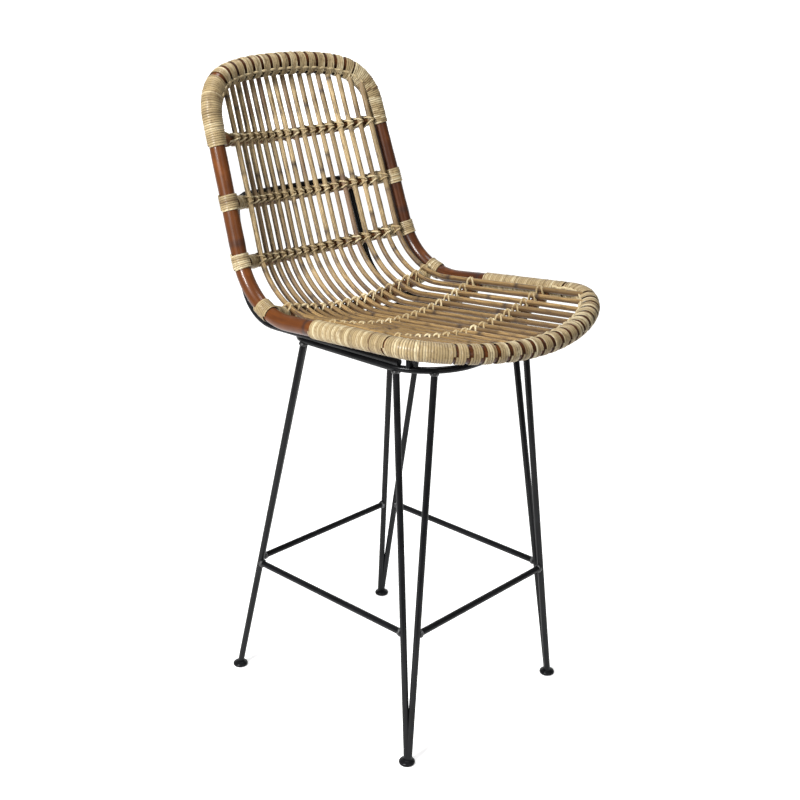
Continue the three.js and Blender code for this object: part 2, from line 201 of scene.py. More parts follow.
def point(x, y, z):
    return np.array([x, y, z], float)


def mirrored(p):
    return p * (-1, 1, 1)


def smooth_step(x, low, high):
    t = np.clip((x - low) / (high - low), 0, 1)
    return t * t * (3 - 2 * t)


class Path:
    """A line through closely spaced points, measured along its length."""

    def __init__(self, points):
        self.points = np.array(points, float)
        steps = np.linalg.norm(np.diff(self.points, axis=0), axis=1)
        self.marks = np.concatenate([[0], np.cumsum(steps)])
        self.length = float(self.marks[-1])

    def at(self, distance):
        return np.stack([np.interp(distance, self.marks, axis) for axis in self.points.T], -1)

    def heading(self, distance):
        return unit(self.at(distance + STEP) - self.at(distance - STEP))

    def part(self, start, end, step=0.002):
        count = max(2, int((end - start) / step) + 1)
        return Path(self.at(np.linspace(start, end, count)))


def bezier(knots, count=90):
    t = np.linspace(0, 1, count)[:, None]
    level = [np.array(k, float)[None, :] * np.ones_like(t) for k in knots]
    while len(level) > 1:
        level = [a + (b - a) * t for a, b in zip(level, level[1:])]
    return level[0]


def round_bend(start, knee, end, radius):
    """Cubic that rounds the corner at the knee with an arc of the given radius."""
    a, b = unit(start - knee), unit(end - knee)
    turn = math.pi - math.acos(float(np.clip(a @ b, -1, 1)))
    reach = radius * math.tan(turn / 2)
    handle = 4 / 3 * math.tan(turn / 4) * radius
    return [knee + a * reach, knee + a * (reach - handle), knee + b * (reach - handle), knee + b * reach]


def joined(parts):
    rows = [parts[0]]
    for part in parts[1:]:
        rows.append(part[1:] if np.allclose(part[0], rows[-1][-1], atol=1e-7) else part)
    return np.concatenate(rows)


def rounded_path(points, radii):
    """Open path through corner points, each one between the ends rounded by its radius."""
    parts, last = [], points[0]
    for before, knee, after, radius in zip(points, points[1:], points[2:], radii):
        bend = round_bend(before, knee, after, radius)
        parts += [bezier([last, bend[0]]), bezier(bend)]
        last = bend[3]
    return Path(joined(parts + [bezier([last, points[-1]])]))


class Outline:
    """The shell's closed loop of pole, its side line and the hammock surface that hangs inside it."""

    def __init__(self):
        s = shell()
        self.bend = point(s.bend_half_width, s.bend_y, s.bend_z)
        self.corner = point(s.top_half_width, s.bend_y + s.back_lean, s.bend_z + s.back_rise)
        self.front = point(s.seat_half_width, s.bend_y - s.seat_depth, s.bend_z + s.seat_rise)
        top = point(0, self.corner[1] + s.bow_back, self.corner[2] + s.bow_up)
        tip = point(0, self.front[1] - s.front_reach, self.front[2] - s.front_drop)
        knee = point(s.top_half_width / 2, top[1], top[2])
        turn = round_bend(knee, self.corner, self.bend, s.corner_radius)
        bend = round_bend(self.corner, self.bend, self.front, s.bend_radius)
        ahead = self.front + unit(self.front - self.bend) * s.front_reach * QUARTER
        right = joined([
            bezier([top, knee, turn[0]]),
            bezier(turn),
            bezier([turn[3], bend[0]]),
            bezier(bend),
            bezier([bend[3], self.front]),
            bezier([self.front, ahead, point(s.seat_half_width * QUARTER, tip[1], tip[2]), tip], 200),
        ])
        self.once = Path(np.concatenate([right, mirrored(right)[::-1][1:]]))
        self.half = self.once.length / 2
        beyond_top = self.corner + unit(self.corner - self.bend) * s.corner_radius
        beyond_front = self.front + unit(self.front - self.bend) * s.front_reach * 1.5
        self.side = rounded_path([beyond_top, self.bend, beyond_front], [s.bend_radius])
        self.samples = self.once.at(np.linspace(0, self.once.length, 1601))

    def loop(self, start, end):
        """Stretch of the loop from the top middle, down the right side; either end may run past it."""
        whole = self.once.length
        distances = np.linspace(start, end, max(2, int(abs(end - start) / 0.002) + 1))
        return Path(self.once.at(np.mod(distances, whole)))

    def side_stretch(self, sign, start, end):
        whole = self.once.length
        return self.loop(start, end) if sign > 0 else self.loop(whole - end, whole - start)

    def side_point(self, d):
        return self.side.at(d + shell().corner_radius)

    def along_loop(self, d):
        half = self.samples[: len(self.samples) // 2]
        nearest = np.argmin(np.linalg.norm(half - self.side_point(d), axis=1))
        return nearest * self.once.length / (len(self.samples) - 1)

    def normal(self, d):
        step = self.side_point(d + 0.001) - self.side_point(d - 0.001)
        return unit(point(0, -step[2], step[1]))

    def hammock(self, u, d, lift):
        """Point of the sagging surface: u is -1 to 1 between the poles, lift is towards the sitter."""
        s, spots = shell(), list(RAILS.values())
        edge = self.side_point(d)
        share = smooth_step(d, spots[2], spots[3])
        hollow = s.back_hollow + (s.seat_hollow - s.back_hollow) * share
        return point(u * edge[0], edge[1], edge[2]) + self.normal(d) * (hollow * (1 - u * u) - lift)

    def rail(self, d, reach=0.93):
        return Path([self.hammock(u, d, 0.0) for u in np.linspace(-reach, reach, 90)])

    def rod_place(self, index):
        t = strands()
        return (t.rod_shift + t.rod_pitch * (index - (t.rod_count - 1) / 2)) / ROD_PITCH_HALF_WIDTH

    def rod_lift(self, u):
        s, t = shell(), strands()
        slope = 2 * max(s.back_hollow, s.seat_hollow) * u / s.top_half_width
        return ((t.rail + t.rod) / 2 + GAP) * math.hypot(1, slope)

    def rod(self, u):
        """A rod's line on the rails, from inside the top rail's wrapping to inside the front's."""
        lift, radius = self.rod_lift(u), shell().corner_radius
        distances = np.linspace(0.001 - radius, self.side.length - radius - 0.001, 520)
        line = np.array([self.hammock(u, d, lift) for d in distances])
        away = np.array([np.linalg.norm(self.samples - p, axis=1).min() for p in line])
        middle = len(line) // 2
        top = int(np.argmin(away[: middle // 2]))
        front = middle + int(np.argmin(away[middle:]))
        inside = strands().pole / 2
        while away[top] < inside:
            top += 1
        while away[front] < inside:
            front -= 1
        return Path(line[top : front + 1])


# ------------------------------------------------------------------ modelling helpers


def deselect():
    if bpy.context.object and bpy.context.object.mode != "OBJECT":
        bpy.ops.object.mode_set(mode="OBJECT")
    bpy.ops.object.select_all(action="DESELECT")


def fresh(name):
    obj = bpy.context.object
    obj.name = name
    obj.data.name = name
    return obj


def activate(obj):
    deselect()
    obj.select_set(True)
    bpy.context.view_layer.objects.active = obj


def read(items, name, width=1, kind=np.int32):
    """One value, or one row of values, for each item of a mesh."""
    values = np.empty(len(items) * width, kind)
    items.foreach_get(name, values)
    return values.reshape(-1, width) if width > 1 else values


def coordinates(obj):
    return read(obj.data.vertices, "co", 3, np.float32).astype(float)


def move_vertices(obj, places):
    obj.data.vertices.foreach_set("co", places.astype(np.float32).ravel())
    obj.data.update()


def apply_place(obj):
    activate(obj)
    bpy.ops.object.transform_apply(location=True, rotation=True, scale=True)


def primitive(kind, name, **settings):
    """Adds one of Blender's primitive meshes."""
    deselect()
    getattr(bpy.ops.mesh, f"primitive_{kind}_add")(**settings)
    obj = fresh(name)
    apply_place(obj)
    return obj


def placed(name, data):
    """Adds an object that holds this data."""
    obj = bpy.data.objects.new(name, data)
    bpy.context.scene.collection.objects.link(obj)
    return obj


def modify(obj, kind, **settings):
    """Adds a modifier with these settings and applies it."""
    modifier = obj.modifiers.new(kind.title(), kind)
    for name, value in settings.items():
        setattr(modifier, name, value)
    activate(obj)
    bpy.ops.object.modifier_apply(modifier=modifier.name)


def swing_to(obj, place, axis, heading):
    """Moves a piece from the origin to a place, and turns one of its axes to a heading."""
    turn = Vector(axis).rotation_difference(Vector(heading))
    obj.matrix_world = Matrix.Translation(Vector(place)) @ turn.to_matrix().to_4x4()
    apply_place(obj)
    return obj


def edit(obj, *steps):
    """Runs edit-mode steps on the whole mesh."""
    activate(obj)
    bpy.ops.object.mode_set(mode="EDIT")
    bpy.ops.mesh.select_all(action="SELECT")
    for step in steps:
        step()
    bpy.ops.object.mode_set(mode="OBJECT")


def edit_only(obj, kind, chosen, step):
    """Runs one edit-mode step on the chosen edges or polygons alone."""
    activate(obj)
    bpy.context.tool_settings.mesh_select_mode = (False, kind == "edges", kind == "polygons")
    for name in ("vertices", "edges", "polygons"):
        items = getattr(obj.data, name)
        items.foreach_set("select", chosen if name == kind else np.zeros(len(items), bool))
    bpy.ops.object.mode_set(mode="EDIT")
    step()
    bpy.ops.object.mode_set(mode="OBJECT")


def turn_out():
    bpy.ops.mesh.normals_make_consistent(inside=False)


def close_and_turn_out():
    bpy.ops.mesh.select_all(action="DESELECT")
    bpy.ops.mesh.select_mode(type="EDGE")
    bpy.ops.mesh.select_non_manifold()
    bpy.ops.mesh.fill_holes(sides=0)
    bpy.ops.mesh.select_all(action="SELECT")
    turn_out()


def store(obj, name, values):
    attribute = obj.data.attributes.new(name, "FLOAT", "POINT")
    attribute.data.foreach_set("value", np.asarray(values, np.float32))


def lay_out(obj):
    """UVs in metres for a piece that lies straight along X: along its length, and round it."""
    mesh, co = obj.data, coordinates(obj)
    corner = read(mesh.loops, "vertex_index")
    starts = read(mesh.polygons, "loop_start")
    counts = np.diff(np.append(starts, len(corner)))
    angle = np.arctan2(co[:, 2], co[:, 1])[corner]
    low = np.repeat(np.minimum.reduceat(angle, starts), counts)
    high = np.repeat(np.maximum.reduceat(angle, starts), counts)
    angle = np.where((high - low > math.pi) & (angle < 0), angle + 2 * math.pi, angle)
    radius = np.hypot(co[:, 1], co[:, 2])[corner]
    layer = mesh.uv_layers[0] if mesh.uv_layers else mesh.uv_layers.new()
    layer.name = "lay"
    flat = np.stack([co[corner, 0], angle * radius], -1)
    layer.data.foreach_set("uv", flat.astype(np.float32).ravel())


def lay_along(obj, path, closed=False):
    """Bends a piece that lies straight along X so that it follows the path."""
    curve = bpy.data.curves.new("guide", "CURVE")
    curve.dimensions = "3D"
    curve.twist_mode = "MINIMUM"
    points = path.points[:-1] if closed else path.points
    spline = curve.splines.new("POLY")
    spline.points.add(len(points) - 1)
    spline.points.foreach_set("co", np.c_[points, np.ones(len(points))].astype(np.float32).ravel())
    spline.use_cyclic_u = closed
    guide = placed("guide", curve)
    modify(obj, "CURVE", object=guide, deform_axis="POS_X")
    bpy.data.objects.remove(guide)
    bpy.data.curves.remove(curve)
    return obj


def straight_bar(name, size, diameter, sides, rings):
    """A round bar along X from 0, cut across into rings."""
    obj = primitive(
        "cylinder", name, vertices=sides, radius=diameter / 2, depth=size,
        location=(size / 2, 0, 0), rotation=(0, math.pi / 2, 0),
    )
    ends = coordinates(obj)[read(obj.data.edges, "vertices", 2), 0]
    lengthwise = np.abs(ends[:, 0] - ends[:, 1]) > size / 2
    edit_only(obj, "edges", lengthwise, lambda: bpy.ops.mesh.subdivide(number_cuts=rings))
    return obj


def grow_nodes(obj, spots, swell, ridge, tones, wander=0.0, seed=0):
    """Rattan's joints: a swelling with a fine ridge at each spot, and a tone for each length between."""
    co = coordinates(obj)
    x, bounds = co[:, 0], np.array(sorted(spots))
    grow, mark = np.ones(len(x)), np.zeros(len(x))
    for spot in bounds:
        grow += swell * np.exp(-(((x - spot) / 0.009) ** 2))
        grow -= swell * 0.9 * np.exp(-(((x - spot) / ridge) ** 2))
        mark = np.maximum(mark, np.exp(-(((x - spot) / (ridge * 1.6)) ** 2)))
    turn = random.Random(seed)
    phases = [turn.uniform(0, 2 * math.pi) for _ in range(4)]
    grow += 0.012 * np.sin(x * 61 + phases[0]) + 0.010 * np.sin(x * 23 + phases[1])
    co[:, 1:] *= grow[:, None]
    co[:, 1] += wander * (np.sin(x * 17 + phases[2]) + 0.5 * np.sin(x * 41 + phases[3]))
    co[:, 2] += wander * 0.6 * np.sin(x * 29 + phases[1])
    move_vertices(obj, co)
    store(obj, "joint", mark)
    store(obj, "tone", np.array(tones)[np.searchsorted(bounds, x)])


def strand_coil(name, radius, turns, seed, copies=1, pitch=None):
    """Turns of cane strand round X, in one closed group or several at a pitch; brown to pale by turn."""
    t = strands()
    width, thickness = t.strand_width, t.strand_thickness
    obj = primitive("circle", name, vertices=7, radius=1, fill_type="NOTHING")
    obj.scale = (width * 0.55, thickness / 2, 1)
    obj.location = (width / 2, radius + thickness / 2, 0)
    apply_place(obj)
    full_turn = 2 * math.pi
    modify(
        obj, "SCREW", axis="X", angle=full_turn, screw_offset=width, iterations=turns, steps=TURN_STEPS,
        render_steps=TURN_STEPS,
    )
    edit(obj, close_and_turn_out)
    if copies > 1:
        modify(
            obj, "ARRAY", count=copies, use_relative_offset=False, use_constant_offset=True,
            constant_offset_displace=(pitch, 0, 0),
        )
    turn = random.Random(seed)
    co = coordinates(obj)
    angle = np.arctan2(co[:, 2], co[:, 1])
    row = np.round((co[:, 0] - width * angle / full_turn) / width).astype(int) + 2
    many = row.max() + 2
    tones = np.clip([turn.gauss(0.58, 0.24) for _ in range(many)], 0, 1)
    spreads = (0.00022, 0.00012, 0.00014)
    lift, shift, lean = (np.array([turn.gauss(0, spread) for _ in range(many)]) for spread in spreads)
    away = np.hypot(co[:, 1], co[:, 2])
    co[:, 0] += shift[row] + lean[row] * np.sin(angle)
    co[:, 1:] *= ((away + np.abs(lift[row])) / away)[:, None]
    move_vertices(obj, co)
    store(obj, "tone", tones[row])
    # Painted shade: a mask that grows towards the pole, for the shade in the valleys between neighbouring
    # turns.
    store(obj, "crevice", np.clip((radius + 0.95 * thickness - away) / (0.5 * thickness), 0, 1))
    return obj


def between(name, start, end, diameter):
    """A straight round bar between two points."""
    path = Path([start, (np.array(start) + end) / 2, end])
    obj = straight_bar(name, path.length, diameter, 24, 1)
    lay_out(obj)
    return swing_to(obj, start, (1, 0, 0), path.heading(path.length / 2))


def join(name, objects):
    activate(objects[0])
    for obj in objects:
        obj.select_set(True)
    bpy.ops.object.join()
    return fresh(name)


def finish_piece(obj, material, slot, *nodes):
    """Smooths and paints a finished piece, puts it on the body and hides the nodes it stands for."""
    activate(obj)
    bpy.ops.object.shade_smooth_by_angle(angle=math.radians(50))
    obj.data.materials.append(material)
    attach(obj, "root")
    if nodes:
        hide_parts(*nodes)


# ------------------------------------------------------------------ shader helpers


class Value:
    """A shader socket that takes part in sums: each operator adds its Math node."""

    def __init__(self, paint, socket):
        self.paint, self.socket = paint, socket

    def __add__(self, other):
        return self.paint.node("ShaderNodeMath", {"operation": "ADD"}, {0: self, 1: other})

    def __mul__(self, other):
        return self.paint.node("ShaderNodeMath", {"operation": "MULTIPLY"}, {0: self, 1: other})

    __radd__ = __add__


class Paint:
    """A material under construction, with its Principled shader."""

    def __init__(self, name, **constants):
        self.material = bpy.data.materials.new(name)
        self.material.use_nodes = True
        self.tree = self.material.node_tree
        self.shader = self.tree.nodes["Principled BSDF"]
        for socket, value in constants.items():
            self.shader.inputs[socket.replace("_", " ").title().replace("Ior", "IOR")].default_value = value

    def node(self, kind, settings=None, inputs=None, output=0):
        """Adds a node: its settings come first, then the values or links of its sockets."""
        node = self.tree.nodes.new(kind)
        for name, value in (settings or {}).items():
            if name == "stops":
                ramp = node.color_ramp.elements
                while len(ramp) < len(value):
                    ramp.new(0.5)
                for element, (place, shade) in zip(ramp, value):
                    element.position = place
                    element.color = (*shade, 1)
            else:
                setattr(node, name, value)
        for name, value in (inputs or {}).items():
            if isinstance(value, Value):
                self.tree.links.new(value.socket, node.inputs[name])
            else:
                node.inputs[name].default_value = value
        return Value(self, node.outputs[output])

    def stored(self, name):
        return self.node("ShaderNodeAttribute", {"attribute_name": name}, output="Fac")

    def place(self, stretch, source="UV"):
        """The piece's own UV layout, or its Object coordinates, scaled along each axis."""
        if source == "UV":
            here = self.node("ShaderNodeUVMap", {"uv_map": "lay"})
        else:
            here = self.node("ShaderNodeTexCoord", output="Object")
        return self.node("ShaderNodeMapping", inputs={"Vector": here, "Scale": stretch})

    def noise(self, where, scale=1.0, detail=4.0, roughness=0.55):
        sockets = {"Vector": where, "Scale": scale, "Detail": detail, "Roughness": roughness}
        return self.node("ShaderNodeTexNoise", inputs=sockets)

    def ramp(self, factor, stops):
        return self.node("ShaderNodeValToRGB", {"stops": stops}, {"Fac": factor})

    def mask(self, factor, low, high):
        sockets = {"Value": factor, "From Min": low, "From Max": high}
        return self.node("ShaderNodeMapRange", {"clamp": True}, sockets)

    def mix(self, factor, first, second):
        sides = [value if isinstance(value, Value) else (*value, 1) for value in (first, second)]
        sockets = {0: factor, 6: sides[0], 7: sides[1]}
        return self.node("ShaderNodeMix", {"data_type": "RGBA"}, sockets, 2)

    def bump(self, height, distance, strength=1.0):
        sockets = {"Height": height, "Distance": distance, "Strength": strength}
        return self.node("ShaderNodeBump", inputs=sockets)

    def finish(self, **links):
        for name, value in links.items():
            self.tree.links.new(value.socket, self.shader.inputs[name.replace("_", " ")])
        return self.material


MATERIALS = {}


def material(make):
    """Makes each finish once, from the chosen colours."""
    def found():
        if make.__name__ not in MATERIALS:
            MATERIALS[make.__name__] = make(finishes())
        return MATERIALS[make.__name__]
    return found


def times(share, tint):
    return [min(1.0, share * c) for c in tint]


@material
def lacquered_pole(f):
    p = Paint("lacquered_pole", coat_weight=0.14, coat_roughness=0.08, specular_ior_level=0.12)
    grain = p.noise(p.place((14, 420, 1)), detail=5)
    cloud = p.noise(p.place((18, 30, 1)), detail=3)
    tone = p.stored("tone")
    shade = p.mask(grain * 0.55 + cloud * 0.55 + tone * 0.35, 0.42, 0.95)
    rich = p.mix(shade, f.pole_dark, f.pole)
    ripe = p.mix(p.mask(cloud, 0.58, 0.80), rich, times(1.5, f.pole))
    scorch = p.mask(p.noise(p.place((9, 26, 1)), scale=1.7, detail=2), 0.60, 0.72)
    aged = p.mix(scorch * 0.7, ripe, f.pole_dark)
    base = p.mix(p.stored("joint") * 0.8, aged, (0.018, 0.012, 0.011))
    relief = p.bump(grain * 0.6 + cloud, 0.0003, 0.7)
    return p.finish(Base_Color=base, Roughness=0.24 + grain * 0.22, Normal=relief)


@material
def rail_bark(f):
    p = Paint("rail_bark", specular_ior_level=0.12)
    grain = p.noise(p.place((22, 500, 1)), detail=6, roughness=0.65)
    cloud = p.noise(p.place((46, 70, 1)), detail=3)
    shade = p.mask(grain * 0.5 + cloud * 0.6 + p.stored("tone") * 0.3, 0.38, 1.0)
    bark = p.mix(shade, f.rail_dark, f.rail)
    base = p.mix(p.stored("joint") * 0.8, bark, (0.016, 0.010, 0.007))
    return p.finish(Base_Color=base, Roughness=0.42 + grain * 0.25, Normal=p.bump(grain, 0.0004, 0.8))


@material
def thin_rattan(f):
    p = Paint("thin_rattan", specular_ior_level=0.22)
    grain = p.noise(p.place((26, 900, 1)), detail=5, roughness=0.6)
    stain = p.noise(p.place((30, 120, 1)), detail=4, roughness=0.7)
    stops = [(0.0, f.rod_grey), (0.5, times(0.62, f.rod_pale)), (1.0, times(1.1, f.rod_pale))]
    hue = p.ramp(p.stored("tone"), stops)
    gold = p.mix(p.stored("tone"), times(0.40, f.rod_gold), times(1.2, f.rod_gold))
    skin = p.mix(p.stored("seat") * 0.85, hue, gold)
    streaked = p.mix(p.mask(grain, 0.40, 0.60), times(0.35, f.rod_gold), skin)
    stained = p.mix(p.mask(stain, 0.54, 0.66) * 0.85, streaked, (0.045, 0.030, 0.024))
    # Painted shade: dark brown laid on one side of each rod and between the seat's rods, by the side-shade
    # attribute from the rod builder.
    shaded = p.mix(p.stored("grime") * 0.85, stained, (0.050, 0.026, 0.010))
    base = p.mix(p.stored("joint") * 0.9, shaded, (0.020, 0.013, 0.010))
    relief = p.bump(grain + stain * 0.5, 0.00025, 0.7)
    return p.finish(Base_Color=base, Roughness=0.36 + grain * 0.22, Normal=relief)


@material
def cane_strand(f):
    p = Paint("cane_strand", specular_ior_level=0.2, coat_weight=0.12, coat_roughness=0.2)
    fibre = p.noise(p.place((160, 120, 160), "Object"), detail=5, roughness=0.65)
    stain = p.noise(p.place((42, 42, 42), "Object"), detail=3, roughness=0.6)
    stops = [(0.0, f.cane_brown), (0.22, times(0.75, f.cane)), (0.6, f.cane), (1.0, f.cane_pale)]
    hue = p.ramp(p.stored("tone"), stops)
    flecked = p.mix(p.mask(fibre, 0.52, 0.74) * 0.65, hue, f.cane_brown)
    stained = p.mix(p.mask(stain, 0.58, 0.74) * 0.6, flecked, times(0.8, f.cane_brown))
    # Painted shade: a near-black brown laid into the valleys between strands.
    base = p.mix(p.stored("crevice"), stained, (0.016, 0.008, 0.004))
    return p.finish(Base_Color=base, Roughness=0.40 + fibre * 0.25, Normal=p.bump(fibre, 0.0003, 0.8))


@material
def black_coating(f):
    p = Paint("black_coating", specular_ior_level=0.04, coat_weight=0.2, coat_roughness=0.15)
    speck = p.noise(p.place((900, 900, 900), "Object"), detail=2)
    cloud = p.noise(p.place((26, 26, 26), "Object"), detail=4)
    base = p.mix(p.mask(cloud, 0.35, 0.75), f.steel, times(2.4, f.steel))
    return p.finish(Base_Color=base, Roughness=0.30 + cloud * 0.22, Normal=p.bump(speck, 0.0001, 0.35))


@material
def weld_bead(f):
    p = Paint("weld_bead", specular_ior_level=0.6)
    ripple = p.noise(p.place((420, 420, 420), "Object"), detail=3)
    bare = p.mask(p.noise(p.place((130, 130, 130), "Object"), detail=2), 0.62, 0.72)
    base = p.mix(bare, f.steel, (0.20, 0.20, 0.21))
    relief = p.bump(ripple, 0.0006, 0.8)
    return p.finish(Base_Color=base, Roughness=0.36 + ripple * 0.2, Metallic=bare * 0.8, Normal=relief)


def finish_cane(obj, *nodes):
    finish_piece(obj, cane_strand(), "cane", *nodes)


def finish_steel(obj, *nodes):
    finish_piece(obj, black_coating(), "black_steel", *nodes)


# ------------------------------------------------------------------ rattan


def spaced_spots(turn, end, low, high):
    """Places for the joints of a rattan length, at random distances."""
    spots, x = [], turn.uniform(0.2, 1.0) * low
    while x < end:
        spots.append(x)
        x += turn.uniform(low, high)
    return spots


def rattan_bar(name, path, diameter, sides, ring_step, gaps, swell, ridge, seed, wander=0.0, spots=None):
    """A length of rattan along a path, and how far along it each of its vertices lies."""
    turn = random.Random(seed)
    obj = straight_bar(name, path.length, diameter, sides, int(path.length / ring_step))
    places = spots or spaced_spots(turn, path.length, *gaps)
    middle = turn.uniform(0.1, 0.9)
    tones = [min(1.0, max(0.0, turn.gauss(middle, 0.22))) for _ in range(len(places) + 1)]
    lay_out(obj)
    grow_nodes(obj, places, swell, ridge, tones, wander, seed)
    x = coordinates(obj)[:, 0]
    lay_along(obj, path)
    return obj, x


class StoolOperator:
    bl_options = {"REGISTER", "UNDO"}

    def execute(self, context):
        self.build()
        return {"FINISHED"}


class BuildPoles(StoolOperator, bpy.types.Operator):
    """Builds the closed loop of lacquered pole: hoop, side poles and front pole"""

    bl_idname = "stool.build_poles"
    bl_label = "Frame Poles"

    def build(self):
        o = Outline()
        hoop, front = o.along_loop(HOOP_JOINT), o.along_loop(FRONT_JOINT)
        whole = o.once.length
        stretches = {
            "back_hoop": o.loop(-hoop, hoop),
            "front_pole": o.loop(front, whole - front),
            "side_pole_left": o.side_stretch(-1, hoop + GAP, front - GAP),
            "side_pole_right": o.side_stretch(1, hoop + GAP, front - GAP),
        }
        for seed, (node, path) in enumerate(stretches.items()):
            spots = None
            if node.startswith("side"):
                near_wrap = o.along_loop(SIDE_WRAP_START) - hoop - JOINT_BEFORE_WRAP
                spots = [near_wrap, near_wrap - JOINT_PITCH]
                if node.endswith("left"):
                    spots = [path.length - spot for spot in spots]
            obj, _ = rattan_bar(
                f"{node}_pole", path, strands().pole, sides=32, ring_step=0.003, gaps=(0.22, 0.34),
                swell=0.035, ridge=0.0022, seed=40 + seed, spots=spots,
            )
            finish_piece(obj, lacquered_pole(), "rattan_pole", node)


class BuildRails(StoolOperator, bpy.types.Operator):
    """Builds the six dark cross rails that hang between the poles"""

    bl_idname = "stool.build_rails"
    bl_label = "Cross Rails"

    def build(self):
        o = Outline()
        for seed, (node, d) in enumerate(RAILS.items()):
            obj, _ = rattan_bar(
                f"{node}_bark", o.rail(d), strands().rail, sides=24, ring_step=0.0025, gaps=(0.09, 0.16),
                swell=0.05, ridge=0.002, seed=60 + seed, wander=0.0003,
            )
            finish_piece(obj, rail_bark(), "rattan_rail", node)


class BuildRods(StoolOperator, bpy.types.Operator):
    """Builds the thin rods that run down the back and forward along the seat"""

    bl_idname = "stool.build_rods"
    bl_label = "Thin Rods"

    def build(self):
        o = Outline()
        turn = random.Random(7)
        for index in range(strands().rod_count):
            path = o.rod(o.rod_place(index))
            diameter = strands().rod * turn.uniform(0.92, 1.06)
            node = f"rod_{index + 1:02d}"
            obj, x = rattan_bar(
                f"{node}_rattan", path, diameter, sides=14, ring_step=0.0032, gaps=(0.07, 0.19),
                swell=0.06, ridge=0.0016, seed=100 + index, wander=0.0004,
            )
            bend = path.marks[int(np.argmin(np.abs(path.points[:, 1] - shell().bend_y * 0.75)))]
            out = coordinates(obj) - path.at(x)
            out /= np.linalg.norm(out, axis=1)[:, None]
            facing = np.sum(out * inward(path, x, (1, 0, 0)), axis=1)
            seat = smooth_step(x, bend - 0.16, bend + 0.02)
            store(obj, "seat", seat)
            # Painted shade: along the back each rod's +X side is darkened, and on the seat the side turned
            # away from the sitter, for the shade between the rods.
            grime = 0.75 * (1 - seat) * smooth_step(out[:, 0], 0.1, 0.8)
            store(obj, "grime", grime + seat * (1 - smooth_step(facing, 0.1, 0.68)))
            finish_piece(obj, thin_rattan(), "rattan_rod", node)


# ------------------------------------------------------------------ cane


def inward(path, distances, facing):
    """Directions from the loop's path towards its inside, where facing is the way its plane faces."""
    middle = np.clip(distances, STEP, path.length - STEP)
    heading = path.at(middle + STEP) - path.at(middle - STEP)
    across = np.cross(heading, facing)
    return across / np.linalg.norm(across, axis=1)[:, None]


def wrapping(name, path, seed, facing, packing, spaced=False):
    """Cane wound round the pole along a path, close or in spaced groups; packing swells its inner side."""
    t = strands()
    if spaced:
        count = max(1, round(path.length / t.group_pitch))
        pitch = path.length / count
        obj = strand_coil(name, t.pole / 2, t.group_strands, seed, count, pitch)
        co = coordinates(obj)
        co[:, 0] += (pitch - t.group_strands * t.strand_width) / 2
        move_vertices(obj, co)
    else:
        turns = round(path.length / t.strand_width)
        obj = strand_coil(name, t.pole / 2, turns - 1, seed)
        co = coordinates(obj)
        co[:, 0] *= path.length / (turns * t.strand_width)
        move_vertices(obj, co)
    lay_out(obj)
    along = coordinates(obj)[:, 0]
    lay_along(obj, path)
    co, inside = coordinates(obj), inward(path, along, facing)
    reach = np.clip(np.sum((co - path.at(along)) * inside, axis=1) / (t.pole / 2), 0, None)
    swell = np.interp(along, [0, path.length], packing)
    move_vertices(obj, co + inside * (reach * swell)[:, None])
    return obj


def running_strands(name, path, facing, sides, seed):
    """Strands along the pole's inner side, over the ends of the rods, twisting about each other."""
    turn, pieces = random.Random(seed), []
    distances = np.linspace(0.001, path.length - 0.001, int(path.length / 0.003))
    inside, up = inward(path, distances, facing), unit(np.array(facing, float))
    for number, (side, rise) in enumerate(sides):
        wave = EDGE_WAVE * np.sin(distances * 2 * math.pi / EDGE_TWIST + number * math.pi)
        points = path.at(distances) + inside * side + up * (rise + wave)[:, None]
        twisted = Path(points)
        obj = straight_bar(f"{name}_{number}", twisted.length, EDGE_STRAND, 8, int(twisted.length / 0.003))
        lay_out(obj)
        store(obj, "tone", np.full(len(obj.data.vertices), turn.uniform(0.4, 0.9)))
        pieces.append(lay_along(obj, twisted))
    return join(name, pieces)


class BuildTopWrapping(StoolOperator, bpy.types.Operator):
    """Winds cane round the top rail in spaced groups, and closely round its two corners"""

    bl_idname = "stool.build_top_wrapping"
    bl_label = "Top Wrapping"

    def build(self):
        o = Outline()
        start, end = CORNER_WRAP_TOP, o.along_loop(CORNER_WRAP_END)
        full = strands().packing
        top = wrapping("top_wrap_groups", o.loop(-start, start), 21, BACK_FACING, (full, full), spaced=True)
        path = o.loop(-start - 0.03, start + 0.03)
        edge = running_strands("top_edge_strands", path, BACK_FACING, ((0.0150, 0.010), (0.0175, 0.004)), 5)
        finish_cane(join("top_wrap_cane", [top, edge]), "top_wrap")
        for seed, (side, sign) in enumerate(SIDES):
            packing = (full * 1.15, full * 0.2)
            path = o.side_stretch(sign, start, end)
            obj = wrapping(f"corner_wrap_{side}_cane", path, 23 + seed, BACK_FACING, packing[::sign])
            finish_cane(obj, f"corner_wrap_{side}")


